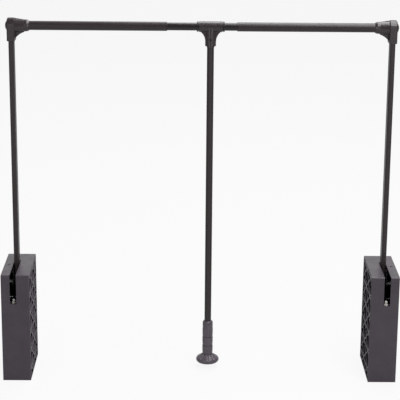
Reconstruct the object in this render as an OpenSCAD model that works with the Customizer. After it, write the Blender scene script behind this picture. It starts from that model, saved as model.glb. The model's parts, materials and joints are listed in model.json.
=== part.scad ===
// Pull-down wardrobe rail: two spring gearboxes, two arms, a telescopic hanging rail
// and a pull rod that swivels on it. Front faces -Y, the gearboxes stand on z = 0.

/* [Overall] */
// Width between the outer faces of the two gearboxes, set by the telescopic rail
span_w = 930; // [840:1:1150]
// Distance from the pivot of the arms to the centre of the hanging rail
arm_len = 616.5; // [500:0.5:700]

/* [Gearbox housing] */
// Width of a gearbox, from its wall face to its ribbed face
box_w = 66; // [66:1:80]
// Depth of a gearbox, front to back
box_d = 170; // [165:1:200]
// Height of a gearbox
box_h = 262; // [240:1:300]
// Thickness of the moulded walls
wall_t = 3; // [2:0.1:4]
// Radius of the four long edges of the housing
edge_r = 3; // [1:0.5:6]
// Radius of the rounding round the ribbed side
rim_round = 2.5; // [1:0.1:2.8]
// Depth of the rib lattice on the inner side
rib_h = 12; // [8:0.5:12]
// Thickness of each rib
rib_t = 2.4; // [1.5:0.1:4]
// Height between the level ribs of the lattice
rib_pitch = 45.5; // [36:0.5:60]
// Depth between the crossings along a level rib
rib_run = 73; // [60:1:84]
// Thickness of the steel wall plate
plate_t = 3; // [2:0.5:4]

/* [Wall screws] */
// Spacing of the wall screws front to back
screw_gap_y = 140; // [120:1:142]
// Height of the lower wall screws above the base
screw_low_z = 20; // [14:1:30]
// Distance of the upper wall screws below the top
screw_top_drop = 104; // [96:1:120]
// Radius of the wall screw holes
screw_hole_r = 2.6; // [2:0.1:3]
// Radius of the bosses round the wall screws
screw_boss_r = 6; // [5:0.5:7]

/* [Arm and slot] */
// Distance of the arm's middle plane from the wall face
arm_inset = 28; // [28:0.5:30]
// Thickness of the arm tube, across the wardrobe
arm_t = 12; // [10:0.5:13]
// Depth of the arm tube, front to back
arm_w = 30; // [24:1:34]
// Corner radius of the arm tube
arm_r = 4; // [2:0.5:5]
// Wall of the arm tube
arm_wall = 1.5; // [1:0.1:2]
// Distance of the pivot and the rail behind the middle of the gearbox
pivot_y = 15; // [10:1:20]
// Depth of the pivot below the top of the gearbox
pivot_drop = 47; // [44:1:52]
// Clearance on each side of the arm in its slot
slot_gap = 1.5; // [1:0.1:2.5]
// Depth of the sill of the front slot below the pivot
sill_drop = 24; // [23:0.5:26]

/* [Pivot and crank] */
// Radius of the pivot axle
axle_r = 5; // [4:0.1:6]
// Radius of the bushes that turn on the axle
bush_r = 7; // [6.5:0.1:8]
// Thickness of a crank plate
crank_t = 3; // [2:0.5:3.5]
// Radius of the crank round the pivot
crank_hub_r = 17; // [15:0.5:18]
// Distance of the spring pin below the pivot
crank_throw = 40; // [36:1:42]
// Radius of the crank round the spring pin
crank_tail_r = 9; // [8:0.5:10]
// Height of the crank's tab above the pivot
crank_tab_h = 36; // [32:1:38]
// Radius of the two rivets through crank and arm
rivet_r = 3; // [2:0.5:4]

/* [Springs and damper] */
// Radius of the spring pin and the anchor pin
pin_r = 4; // [3:0.5:5]
// Distance of the anchor pin in front of the pivot
anchor_fwd = 25; // [15:1:30]
// Height of the anchor pin above the base
anchor_z = 25; // [22:1:40]
// Outer radius of the springs
spring_r = 7; // [5:0.5:7.5]
// Radius of the spring wire
wire_r = 1; // [0.6:0.1:1.2]
// Depth of the damper below the pivot
damper_drop = 37; // [36:0.5:38]
// Radius of the damper cylinder
damper_r = 7; // [6:0.5:7.5]
// Room between the damper cylinder and the front wall
damper_gap = 4; // [2:0.5:20]
// Radius of the damper's plunger
plunger_r = 3; // [2:0.5:4]
// Travel of the plunger
plunger_travel = 8; // [4:1:10]
// Radius of the rubber buffer under the lowered arm
buffer_r = 3.2; // [2.5:0.1:4]
// Distance of the buffer behind the front face
buffer_inset = 16; // [12:1:20]

/* [Elbow] */
// Wall of the elbow round the arm
elbow_wall = 3; // [2:0.5:4]
// Depth of the elbow's socket below the rail
elbow_drop = 34; // [30:1:40]
// Length of the cone beside the socket
cone_len = 21; // [15:1:25]
// Radius of the cone at the socket
cone_r = 15.75; // [15:0.25:17]
// Length of the collar round the rail
collar_len = 11.3; // [8:0.1:15]
// Radius of the collar round the rail
collar_r = 13.6; // [12.5:0.1:15]
// Length of the collar's tapering end
collar_taper = 5; // [2:0.5:7]
// Bevel round the elbow's two sides
elbow_edge = 2; // [0.5:0.5:2.5]
// Height of the domed cap on the outer side
cap_h = 5; // [3:0.5:7]
// Radius of the domed cap on the outer side
cap_r = 12; // [10:0.25:14]

/* [Rail] */
// Radius of the two outer rail tubes
tube_r = 10.5; // [10:0.1:12]
// Wall of the rail tubes
tube_wall = 1.2; // [1:0.1:1.5]
// Distance of each outer tube's free end from the middle of the rail
tube_end = 80.5; // [80:0.5:110]
// Length of the inner tube on each side of the middle
core_half = 250; // [240:1:260]
// Play between the inner and the outer tube, all round
slide_gap = 0.3; // [0.2:0.05:0.4]

/* [Pull rod] */
// Distance of the pull rod right of the middle
rod_x = 19.5; // [0:0.5:30]
// Radius of the pull rod
rod_r = 8; // [7:0.1:9]
// Wall of the pull rod
rod_wall = 1.2; // [1:0.1:2]
// Length of the tee's sleeve on the rail
tee_len = 54; // [50:1:60]
// Radius of the tee's sleeve
tee_r = 12.25; // [11.5:0.05:14]
// Radius of the tee's neck round the rod
neck_r = 12.5; // [11:0.1:14]
// Depth of the tee's neck below the rail
neck_drop = 44; // [42:0.5:60]
// Width of each retaining ring beside the tee
ring_w = 4.5; // [3:0.5:8]
// Radius of the retaining rings
ring_r = 11.7; // [11:0.1:12.4]

/* [Grip] */
// Height of the grip's lower end above the base
grip_z = 12.3; // [5:0.1:40]
// Height of the bell foot
bell_h = 20.4; // [18:0.1:24]
// Radius of the bell foot
bell_r = 27.4; // [24:0.1:30]
// Height of one finger barrel
barrel_h = 22.2; // [20:0.1:26]
// Number of finger barrels
barrels = 3; // [2:1:4]
// Widest radius of the finger barrels
barrel_r = 12.7; // [12:0.05:14]
// Height of the collar above the barrels
grip_collar_h = 18.5; // [14:0.5:24]
// Number of flutes round the grip
flutes = 10; // [8:1:14]
// Radius of the hollow of each flute
flute_r = 5; // [3:0.5:8]
// Depth of each flute in the barrels
flute_depth = 0.7; // [0.3:0.1:1]

/* [Fits] */
// Gap between pieces that are fixed to each other
fit_gap = 0.05; // [0.02:0.01:0.1]
// Radial gap of a shaft that turns or slides in its bore
run_gap = 0.08; // [0.02:0.01:0.1]
// Gap along an axis between pieces that turn past each other
side_play = 0.3; // [0.2:0.05:0.5]

/* [Hidden] */
$fn = 64;

// Colours of the finishes
abs_dark = [0.24, 0.22, 0.24];
abs_black = [0.16, 0.15, 0.16];
coat_brown = [0.2, 0.18, 0.19];
zinc = [0.66, 0.67, 0.7];
acetal = [0.88, 0.88, 0.85];
rubber_pale = [0.9, 0.9, 0.88];

// What cuts run past a face, and what joined solids reach into each other
over = 1;
bite = 0.5;

// Planes of the left gearbox across the wardrobe, and of the right one by mirroring
x_out = -span_w / 2;
x_in = x_out + box_w;
x_arm = x_out + arm_inset;
x_plate = x_out + plate_t;
x_web_in = x_in - rib_h;
x_web_out = x_web_in - wall_t;
inner_d = box_d - 2 * wall_t;
inner_h = box_h - 2 * wall_t;
front_y = -box_d / 2;
screw_gap_z = box_h - screw_top_drop - screw_low_z;

// The lattice's first crossing, behind the front face and above the base
rib_y = 26;
rib_z = 25;

// Room for the heads of the wall screws in their bosses
boss_lip = 1;
head_room = 2;
head_sink = 6;

// The pivot and what turns on it
pivot_z = box_h - pivot_drop;
sill_z = pivot_z - sill_drop;
rail_z = pivot_z + arm_len;
crank_x0 = x_arm - arm_t / 2 - crank_t;
crank_x1 = x_arm + arm_t / 2 + crank_t;
flange_t = 1.5;
flange_w = 2.5;
flange_r = bush_r + flange_w;
bush_x0 = crank_x0 - flange_t;
bush_x1 = crank_x1 + flange_t;
shoulder_w = 3;
shoulder_r = axle_r + shoulder_w;
blind_t = 1;
x_pin_end = x_web_in - blind_t;
foot_inset = 2;
arm_foot = crank_hub_r - foot_inset;
rivet_y = arm_w / 4;
rivet_inset = 10;
rivet_z = crank_tab_h - rivet_inset;
head_t = 1.5;
head_w = 2;
bridge_top = 24;
bridge_t = 3.5;

// Springs run from the anchor pin up to the crank pin, one on each side of the arm
pin_play = 1.5;
anchor_y = pivot_y - anchor_fwd;
crank_pin_z = pivot_z - crank_throw;
spring_bite = 1;
spring_off = (crank_x1 - crank_x0) / 2 + spring_r - spring_bite;
spring_rise = crank_pin_z - anchor_z;
spring_span = norm([anchor_fwd, spring_rise]);
spring_tilt = -atan2(anchor_fwd, spring_rise);
hook_r = pin_r + wire_r + fit_gap;
coil_gap = 3;
coil_start = crank_tail_r + coil_gap;

// The damper lies level in front of the crank's bridge, the arm's tail meets it upright
damper_z = pivot_z - damper_drop;
tangent_a = asin((crank_hub_r - crank_tail_r) / crank_throw);
tip_w = 2;
tip_r = plunger_r + tip_w;
tip_t = 4;
tip_y = pivot_y - edge_y(pivot_z - damper_z - tip_r) - side_play;
plunger_out = 12;
plunger_hold = 40;
damper_y1 = tip_y - tip_t - plunger_out;
damper_y0 = front_y + wall_t + damper_gap;
plunger_in = plunger_travel + plunger_hold;
cradle_w = 6;
cradle_h = 5;
cradle_t = 4;
cradle_x = damper_r + cradle_t;
shelf_t = 3;
shelf_sink = 2;
shelf_z = sill_z - shelf_sink;
shelf_d = 22;
shelf_x = 15;
arm_low_z = pivot_z - arm_w / 2;
buffer_foot = 1.5;

// The case screws stand in the plate's folded tabs, under the small holes
case_inset = 10;
case_x = x_out + case_inset;
case_r = 3;
case_recess = 2;
case_screw_len = 9;
tab_w = 15;
tab_d = 20;

// The elbow's planes across the wardrobe and its round hub about the rail
elbow_x0 = crank_x0 + crank_t - elbow_wall;
elbow_x1 = crank_x1 - crank_t + elbow_wall;
hub_r = arm_w / 2 + elbow_wall;
arm_top = 8;
cone_x = elbow_x1 + cone_len;
collar_x = cone_x + collar_len;
gusset_t = 10;
gusset_r = 45;
gusset_up = 4.5;
gusset_drop = elbow_drop - gusset_up;
gusset_lip = 1;
web_top_t = 5;
collar_lip = 1.1;
collar_lip_r = tube_r + collar_lip;
spigot_w = 2;
spigot_r = cap_r - spigot_w;
spigot_h = 1;
cap_edge = 0.6;
dome_h = cap_h - cap_edge;
dome_r = (cap_r * cap_r + dome_h * dome_h) / (2 * dome_h);
bolt_r = 2.5;
bolt_head_r = 4.5;
bolt_head_t = 1.8;
plug_len = 25;
plug_bite = 18;

// The rail tubes
tube_in_r = tube_r - tube_wall;
core_r = tube_in_r - slide_gap;
core_in_r = core_r - tube_wall;
glide_t = 3;
glide_len = 18;

// The tee, the rod and its screws
tee_x0 = rod_x - tee_len / 2;
tee_x1 = rod_x + tee_len / 2;
socket_roof = 3.25;
socket_top = tee_r + socket_roof;
lip_h = 3.5;
lip_t = 0.9;
lip_r = rod_r + lip_t;
wing_r = 28;
wing_drop = 33;
wing_t = 14;
ring_neck = 1;
ring_step = 1.4;
tee_screw_drop = 29;
small_screw_r = 2;
small_head_r = 3.5;
small_head_t = 2;
rod_top = rail_z - socket_top - side_play;

// The grip
bell_top = grip_z + bell_h;
barrels_top = bell_top + barrels * barrel_h;
grip_top = barrels_top + grip_collar_h;
rim_r = 7;
neck_step = 0.15;
neck_low_r = barrel_r - neck_step;
barrel_dip = 0.8;
barrel_peak = 0.7;
barrel_steps = 6;
groove_h = 1.2;
groove_depth = 1;
grip_collar_r = 12.2;
collar_arc = 4;
petal_r = 3;
petal_depth = 1.4;
petal_z = 10;
spigot_len = 20;
spigot_top = bell_top + spigot_len;
bell_spigot_r = rod_r - rod_wall - fit_gap;
rod_plug_len = 18;
bell_flute_r = 6;
bell_flute_depth = 1;
flare_a = 40;
flare_x = bell_r - rim_r + rim_r * sin(flare_a);
flare_z = grip_z + rim_r + rim_r * cos(flare_a);
flare_slope = atan2(bell_top - flare_z, flare_x - neck_low_r);
grip_head_sink = 5;
grip_head_z = grip_z + grip_head_sink;
grip_head_r = 4.2;

// Distance of the crank's slanting edge from the pivot's vertical, at a depth below the pivot
function edge_y(depth) = (crank_hub_r - depth * sin(tangent_a)) / cos(tangent_a);

// Shared shapes

module mirrored(side) {
    if (side == "left") children();
    else mirror([1, 0, 0]) children();
}

// A profile drawn in Y and Z, made into a solid from one X to another
module across(x0, x1) {
    translate([x0, 0, 0]) rotate([90, 0, 90]) linear_extrude(x1 - x0) children();
}

// A round bar along X
module bar(x0, x1, y, z, r) {
    translate([x0, y, z]) rotate([0, 90, 0]) cylinder(h = x1 - x0, r = r);
}

// A round bar along Y
module bar_y(x, y0, y1, z, r) {
    translate([x, y0, z]) rotate([-90, 0, 0]) cylinder(h = y1 - y0, r = r);
}

// A rectangle with round corners about the origin
module rounded(w, h, r) {
    square([w - 2 * r, h], center = true);
    square([w, h - 2 * r], center = true);
    for (sx = [-1, 1], sy = [-1, 1])
        translate([sx * (w / 2 - r), sy * (h / 2 - r)]) circle(r);
}

module box_outline(shrink) {
    translate([0, box_h / 2]) rounded(box_d - 2 * shrink, box_h - 2 * shrink, edge_r);
}

// A rectangle from x = 0 to w with its two far corners round
module half_rounded(w, h, r) {
    translate([0, -h / 2]) square([w - r, h]);
    translate([0, r - h / 2]) square([w, h - 2 * r]);
    for (s = [-1, 1]) translate([w - r, s * (h / 2 - r)]) circle(r);
}

module screw_places() {
    for (y = [-1, 1], z = [0, 1])
        translate([0, y * screw_gap_y / 2, screw_low_z + z * screw_gap_z]) children();
}

// The lattice, drawn in Y and Z: level ribs, and two slanting rows that cross on them
module lattice() {
    lean = atan2(rib_pitch, rib_run);
    reach = norm([box_d, box_h]);
    ahead = rib_y / rib_run;
    behind = (box_d - rib_y) / rib_run;
    below = rib_z / rib_pitch;
    above = (box_h - rib_z) / rib_pitch;
    intersection() {
        translate([0, box_h / 2]) square([inner_d + 2 * bite, inner_h + 2 * bite], center = true);
        translate([front_y + rib_y, rib_z]) {
            rib_row(-floor(below), floor(above), 0, reach);
            rib_row(-floor(below + behind), floor(above + ahead), lean, reach);
            rib_row(-floor(below + ahead), floor(above + behind), -lean, reach);
        }
    }
}

module rib_row(first, last, lean, reach) {
    for (k = [first : last]) translate([0, k * rib_pitch]) rotate(lean)
        translate([-reach, -rib_t / 2]) square([2 * reach, rib_t]);
}

// The side profile of a crank plate, about the pivot
module crank_outline() {
    n = [cos(tangent_a), -sin(tangent_a)];
    tail = [0, -crank_throw];
    a = crank_hub_r * n;
    b = tail + crank_tail_r * n;
    circle(crank_hub_r);
    translate(tail) circle(crank_tail_r);
    polygon([a, b, [-b[0], b[1]], [-a[0], a[1]]]);
    translate([0, crank_tab_h / 2]) rounded(arm_w, crank_tab_h, arm_r);
}

// Gearbox

module housing() {
    color(abs_dark) difference() {
        union() {
            difference() {
                housing_form();
                across(x_out - over, x_web_out) box_outline(wall_t);
                across(x_web_in, x_in + over) box_outline(wall_t);
            }
            across(x_web_in - bite, x_in - bite) lattice();
            screw_places() {
                bar(x_plate, x_web_out + bite, 0, 0, screw_boss_r);
                bar(x_web_in - bite, x_in - bite, 0, 0, screw_boss_r + boss_lip);
            }
            bar(bush_x1 + side_play, x_web_out + bite, pivot_y, pivot_z, shoulder_r);
            bar(x_web_out - wall_t, x_web_out + bite, anchor_y, anchor_z, pin_r + wall_t);
            damper_cradle();
        }
        screw_places() {
            bar(x_out, x_in + over, 0, 0, screw_hole_r);
            bar(x_in - head_sink, x_in + over, 0, 0, head_room * screw_hole_r);
        }
        bar(bush_x1, x_pin_end + side_play, pivot_y, pivot_z, axle_r + fit_gap);
        bar(x_web_out - wall_t - over, x_pin_end + side_play, anchor_y, anchor_z, pin_r + fit_gap);
        arm_slot();
        for (z = [-over, box_h - wall_t - over])
            translate([case_x, 0, z]) cylinder(h = wall_t + 2 * over, r = case_r + fit_gap);
    }
}

// The outer form: square at the wall, rounded all round the ribbed side
module housing_form() {
    intersection() {
        across(x_out, x_in) box_outline(0);
        translate([x_out, 0, 0]) linear_extrude(box_h) half_rounded(box_w, box_d, rim_round);
        translate([x_out, box_d / 2, box_h / 2]) rotate([90, 0, 0])
            linear_extrude(box_d) half_rounded(box_w, box_h, rim_round);
    }
}

// The slot in the front and the top, which the arm swings into
module arm_slot() {
    half = arm_t / 2 + slot_gap;
    back_y = pivot_y + arm_w / 2 + 2 * slot_gap;
    translate([x_arm - half, front_y - over, box_h - wall_t - over])
        cube([2 * half, back_y - front_y + over, wall_t + 2 * over]);
    translate([x_arm - half, front_y - over, sill_z])
        cube([2 * half, wall_t + 2 * over, box_h - sill_z + over]);
}

// Two clips that hold the damper, and the shelf that carries the buffer
module damper_cradle() {
    difference() {
        for (y = [damper_y0 + cradle_w, damper_y1 - 2 * cradle_w])
            translate([x_arm - cradle_x, y, damper_z - cradle_x])
                cube([x_web_out + bite - x_arm + cradle_x, cradle_w, cradle_x + cradle_h]);
        bar_y(x_arm, damper_y0 - over, damper_y1 + over, damper_z, damper_r + fit_gap);
    }
    translate([x_arm - shelf_x, front_y + wall_t - bite, shelf_z - shelf_t])
        cube([x_web_out + bite - x_arm + shelf_x, shelf_d, shelf_t]);
}

module wall_plate() {
    low = wall_t + fit_gap;
    color(zinc) difference() {
        union() {
            across(x_out, x_plate) box_outline(low);
            for (z = [low, box_h - low - plate_t])
                translate([x_plate - bite, -tab_d / 2, z]) cube([tab_w + bite, tab_d, plate_t]);
        }
        screw_places() bar(x_out - over, x_plate + over, 0, 0, screw_hole_r);
        bar(x_out - over, x_plate + over, pivot_y, pivot_z, axle_r + fit_gap);
        bar(x_out - over, x_plate + over, anchor_y, anchor_z, pin_r + fit_gap);
        translate([case_x, 0, 0]) cylinder(h = box_h, r = case_r + fit_gap);
    }
}

module axle() {
    color(zinc) {
        bar(x_out, x_pin_end, pivot_y, pivot_z, axle_r);
        bar(x_plate, bush_x0 - side_play, pivot_y, pivot_z, shoulder_r);
    }
}

module anchor_pin() {
    color(zinc) bar(x_out, x_pin_end, anchor_y, anchor_z, pin_r);
}

// An extension spring: an eye on each pin and a close-wound coil between them
module spring(side) {
    color(zinc)
    translate([x_arm + side * spring_off, anchor_y, anchor_z]) rotate([spring_tilt, 0, 0]) {
        for (z = [0, spring_span])
            translate([0, 0, z]) rotate([0, 90, 0])
                rotate_extrude() translate([hook_r, 0]) circle(wire_r);
        for (z = [hook_r, spring_span - coil_start - bite])
            translate([0, 0, z]) cylinder(h = coil_start + bite - hook_r, r = wire_r);
        translate([0, 0, coil_start])
            cylinder(h = spring_span - 2 * coil_start, r = spring_r);
    }
}

module damper() {
    color(abs_black) difference() {
        bar_y(x_arm, damper_y0, damper_y1, damper_z, damper_r);
        bar_y(x_arm, damper_y1 - plunger_in - over, damper_y1 + over, damper_z, plunger_r + run_gap);
    }
}

module plunger() {
    color(acetal) {
        bar_y(x_arm, damper_y1 - plunger_in, tip_y - tip_t + bite, damper_z, plunger_r);
        bar_y(x_arm, tip_y - tip_t, tip_y, damper_z, tip_r);
    }
}

// The pale rubber stud that the arm comes down on
module buffer() {
    top = arm_low_z - side_play - buffer_r;
    color(rubber_pale) translate([x_arm, front_y + buffer_inset, 0]) {
        translate([0, 0, shelf_z]) cylinder(h = shelf_t / 2, r = buffer_r + buffer_foot);
        translate([0, 0, shelf_z]) cylinder(h = top - shelf_z, r = buffer_r);
        translate([0, 0, top]) sphere(buffer_r);
    }
}

module case_screws() {
    color(zinc) {
        translate([case_x, 0, box_h - case_recess - case_screw_len])
            cylinder(h = case_screw_len, r = case_r);
        translate([case_x, 0, case_recess]) cylinder(h = case_screw_len, r = case_r);
    }
}

// Arm

module crank() {
    color(zinc) translate([0, pivot_y, pivot_z]) difference() {
        union() {
            across(crank_x0, crank_x0 + crank_t) crank_outline();
            across(crank_x1 - crank_t, crank_x1) crank_outline();
            across(crank_x0, crank_x1) intersection() {
                difference() {
                    crank_outline();
                    translate([bridge_t, 0]) crank_outline();
                }
                translate([-crank_hub_r, -crank_throw - crank_tail_r])
                    square([crank_hub_r, crank_throw + crank_tail_r - bridge_top]);
            }
        }
        bar(crank_x0 - over, crank_x1 + over, 0, 0, bush_r + fit_gap);
        bar(crank_x0 - over, crank_x1 + over, 0, -crank_throw, pin_r + fit_gap);
        rivet_places() bar(crank_x0 - over, crank_x1 + over, 0, 0, rivet_r + fit_gap);
    }
}

module rivet_places() {
    for (s = [-1, 1]) translate([0, s * rivet_y, rivet_z]) children();
}

// Two flanged bushes, which meet inside the arm and turn on the axle
module bushes() {
    color(acetal) translate([0, pivot_y, pivot_z]) difference() {
        union() {
            bar(bush_x0, x_arm - fit_gap, 0, 0, bush_r);
            bar(x_arm + fit_gap, bush_x1, 0, 0, bush_r);
            bar(bush_x0, crank_x0, 0, 0, flange_r);
            bar(crank_x1, bush_x1, 0, 0, flange_r);
        }
        bar(bush_x0 - over, bush_x1 + over, 0, 0, axle_r + run_gap);
    }
}

module crank_pin() {
    color(zinc) bar(x_plate + pin_play, x_web_out - pin_play, pivot_y, crank_pin_z, pin_r);
}

module crank_rivets() {
    color(zinc) translate([0, pivot_y, pivot_z]) rivet_places() {
        bar(crank_x0 - head_t, crank_x1 + head_t, 0, 0, rivet_r);
        bar(crank_x0 - head_t, crank_x0, 0, 0, rivet_r + head_w);
        bar(crank_x1, crank_x1 + head_t, 0, 0, rivet_r + head_w);
    }
}

module arm() {
    low = pivot_z - arm_foot;
    color(coat_brown) difference() {
        translate([x_arm, pivot_y, low]) linear_extrude(rail_z + arm_top - low) difference() {
            rounded(arm_t, arm_w, arm_r);
            rounded(arm_t - 2 * arm_wall, arm_w - 2 * arm_wall, arm_r - arm_wall);
        }
        translate([0, pivot_y, pivot_z]) {
            bar(crank_x0, crank_x1, 0, 0, bush_r + fit_gap);
            rivet_places() bar(crank_x0, crank_x1, 0, 0, rivet_r + fit_gap);
        }
        bar(crank_x0, crank_x1, pivot_y, rail_z, bolt_r + fit_gap);
    }
}

// Elbow

module elbow() {
    color(abs_black) difference() {
        union() {
            elbow_hub();
            elbow_socket();
            bar_cone(elbow_x1 - bite, cone_x, cone_r, collar_r);
            bar(cone_x - bite, collar_x - collar_taper, pivot_y, rail_z, collar_r);
            bar_cone(collar_x - collar_taper, collar_x, collar_r, collar_lip_r);
            elbow_gussets();
        }
        translate([x_arm, pivot_y, rail_z - elbow_drop - over])
            linear_extrude(elbow_drop + arm_top + over + fit_gap)
                rounded(arm_t + 2 * fit_gap, arm_w + 2 * fit_gap, arm_r);
        bar(elbow_x1, collar_x + over, pivot_y, rail_z, tube_r + fit_gap);
        bar(elbow_x0 - over, elbow_x0 + spigot_h, pivot_y, rail_z, spigot_r + fit_gap);
        bar(elbow_x0 - over, x_arm, pivot_y, rail_z, bolt_head_r + fit_gap);
        bar(x_arm, elbow_x1 + over, pivot_y, rail_z, bolt_r + fit_gap);
    }
}

// The round hub about the rail, bevelled at both sides
module elbow_hub() {
    bar_cone(elbow_x0, elbow_x0 + elbow_edge, hub_r - elbow_edge, hub_r);
    bar(elbow_x0 + elbow_edge, elbow_x1 - elbow_edge, pivot_y, rail_z, hub_r);
    bar_cone(elbow_x1 - elbow_edge, elbow_x1, hub_r, hub_r - elbow_edge);
}

// The socket round the arm, with the same bevels running straight down
module elbow_socket() {
    w = elbow_x1 - elbow_x0;
    translate([elbow_x0, pivot_y, rail_z - elbow_drop]) linear_extrude(elbow_drop) polygon([
        for (s = [-1, 1], p = [[0, elbow_edge], [elbow_edge, 0], [w - elbow_edge, 0], [w, elbow_edge]])
            let (x = s < 0 ? p[0] : w - p[0]) [x, s * (hub_r - p[1])]]);
}

// A cone along X about the rail
module bar_cone(x0, x1, r0, r1) {
    translate([x0, pivot_y, rail_z]) rotate([0, 90, 0]) cylinder(h = x1 - x0, r1 = r0, r2 = r1);
}

// The hollowed gusset under the rail and the thin web above it
module elbow_gussets() {
    low = [elbow_x1, -gusset_drop];
    high = [cone_x, -collar_r - gusset_lip];
    chord = high - low;
    inward = [chord[1], -chord[0]] / norm(chord);
    centre = (low + high) / 2 + inward * sqrt(pow(gusset_r, 2) - pow(norm(chord) / 2, 2));
    translate([0, pivot_y + gusset_t / 2, rail_z]) rotate([90, 0, 0]) linear_extrude(gusset_t)
        difference() {
            translate([elbow_x1 - bite, -gusset_drop]) square([cone_len + bite, gusset_drop]);
            translate(centre) circle(gusset_r);
        }
    translate([0, pivot_y + web_top_t / 2, rail_z]) rotate([90, 0, 0]) linear_extrude(web_top_t)
        polygon([
            [elbow_x1 - elbow_edge, 0], [cone_x, 0], [cone_x, collar_r],
            [elbow_x1 - elbow_edge / 2, hub_r - elbow_edge / 2]]);
}

module elbow_cap() {
    color(abs_black) {
        bar(elbow_x0, elbow_x0 + spigot_h, pivot_y, rail_z, spigot_r);
        intersection() {
            bar(elbow_x0 - cap_h, elbow_x0, pivot_y, rail_z, cap_r);
            translate([elbow_x0 - cap_h + dome_r, pivot_y, rail_z]) sphere(dome_r);
        }
    }
}

// The bolt that passes through the arm and draws the rail's plug into the elbow
module elbow_screw() {
    head = x_arm - arm_t / 2 - bolt_head_t;
    color(zinc) {
        bar(head, head + bolt_head_t, pivot_y, rail_z, bolt_head_r);
        bar(head, elbow_x1 + plug_bite, pivot_y, rail_z, bolt_r);
    }
}

module rail_plug() {
    color(zinc) difference() {
        bar(elbow_x1, elbow_x1 + plug_len, pivot_y, rail_z, tube_in_r - fit_gap);
        bar(elbow_x1 - over, elbow_x1 + plug_bite + over, pivot_y, rail_z, bolt_r + fit_gap);
    }
}

// Rail

module rail_tube() {
    color(coat_brown) difference() {
        bar(elbow_x1, -tube_end, pivot_y, rail_z, tube_r);
        bar(elbow_x1 - over, over - tube_end, pivot_y, rail_z, tube_in_r);
    }
}

module inner_tube() {
    color(coat_brown) difference() {
        bar(-core_half, core_half, pivot_y, rail_z, core_r);
        bar(-core_half - over, core_half + over, pivot_y, rail_z, core_in_r);
    }
}

// Plastic plugs in the ends of the inner tube, which guide it in the outer tubes
module inner_tube_glides() {
    color(acetal) for (side = ["left", "right"]) mirrored(side) {
        bar(-core_half - glide_t, -core_half, pivot_y, rail_z, tube_in_r - run_gap);
        bar(-core_half - bite, -core_half + glide_len, pivot_y, rail_z, core_in_r - fit_gap);
    }
}

// Each ring is turned down beside the tee, so that a dark joint shows there
module retaining_rings() {
    color(abs_black)
    for (ring = [[tee_x0 - side_play - ring_w, 0], [tee_x1 + side_play, ring_neck]]) difference() {
        x = ring[0];
        union() {
            bar(x + ring[1], x + ring[1] + ring_w - ring_neck, pivot_y, rail_z, ring_r);
            bar(x, x + ring_w, pivot_y, rail_z, ring_r - ring_step);
        }
        bar(x - over, x + ring_w + over, pivot_y, rail_z, core_r + fit_gap);
    }
}

// Pull rod

module rod_tee() {
    color(abs_black) difference() {
        union() {
            bar(tee_x0, tee_x1, pivot_y, rail_z, tee_r);
            translate([rod_x, pivot_y, rail_z - neck_drop]) cylinder(h = neck_drop, r = neck_r);
            translate([rod_x, pivot_y, rail_z - neck_drop - lip_h]) cylinder(h = lip_h + bite, r = lip_r);
            tee_wings();
        }
        bar(tee_x0 - over, tee_x1 + over, pivot_y, rail_z, core_r + run_gap);
        translate([rod_x, pivot_y, rail_z - neck_drop - lip_h - over])
            cylinder(h = neck_drop + lip_h + over - socket_top, r = rod_r + fit_gap);
        bar_y(rod_x, pivot_y - neck_r - over, pivot_y, rail_z - tee_screw_drop, small_screw_r + fit_gap);
        bar_y(rod_x, pivot_y - neck_r - over, pivot_y - neck_r + small_head_t,
            rail_z - tee_screw_drop, small_head_r + fit_gap);
    }
}

// The curved wings that run from the sleeve's ends down to the neck
module tee_wings() {
    wing_c = neck_r + wing_r;
    translate([rod_x, pivot_y + wing_t / 2, rail_z]) rotate([90, 0, 0]) linear_extrude(wing_t)
        difference() {
            translate([-tee_len / 2, -wing_drop]) square([tee_len, wing_drop]);
            for (s = [-1, 1]) translate([s * wing_c, -wing_drop]) circle(wing_r);
        }
}

module tee_screw() {
    z = rail_z - tee_screw_drop;
    head_y = pivot_y - neck_r + fit_gap;
    color(zinc) {
        bar_y(rod_x, head_y, head_y + small_head_t - fit_gap, z, small_head_r);
        bar_y(rod_x, head_y, pivot_y - rod_r + rod_wall + over, z, small_screw_r);
    }
}

module pull_rod() {
    color(coat_brown) difference() {
        translate([rod_x, pivot_y, bell_top]) cylinder(h = rod_top - bell_top, r = rod_r);
        translate([rod_x, pivot_y, bell_top - over])
            cylinder(h = rod_top - bell_top + 2 * over, r = rod_r - rod_wall);
        bar_y(rod_x, pivot_y - 2 * rod_r, pivot_y, rail_z - tee_screw_drop, small_screw_r + fit_gap);
    }
}

// The threaded plug in the rod's lower end
module rod_plug() {
    color(zinc) difference() {
        translate([rod_x, pivot_y, spigot_top]) cylinder(h = rod_plug_len, r = rod_r - rod_wall - fit_gap);
        translate([rod_x, pivot_y, spigot_top - over])
            cylinder(h = rod_plug_len + 2 * over, r = small_screw_r + fit_gap);
    }
}

// The fluted sleeve: barrels for the fingers under a round collar
module grip_sleeve() {
    color(abs_black) translate([rod_x, pivot_y, 0]) difference() {
        union() {
            rotate(180 / flutes) grip_barrels();
            grip_collar();
        }
        translate([0, 0, bell_top - over])
            cylinder(h = grip_top - bell_top + 2 * over, r = rod_r + fit_gap);
    }
}

// Places round the grip, half a pitch off the start of the turn
module flute_places() {
    for (k = [0 : flutes - 1]) rotate((k + 0.5) * 360 / flutes) children();
}

module grip_barrels() {
    difference() {
        rotate_extrude()
            for (k = [0 : barrels - 1]) translate([0, bell_top + k * barrel_h]) barrel_profile();
        flute_places() translate([barrel_r - flute_depth + flute_r, 0, bell_top - over])
            cylinder(h = barrels * barrel_h + 2 * over, r = flute_r);
    }
}

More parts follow.
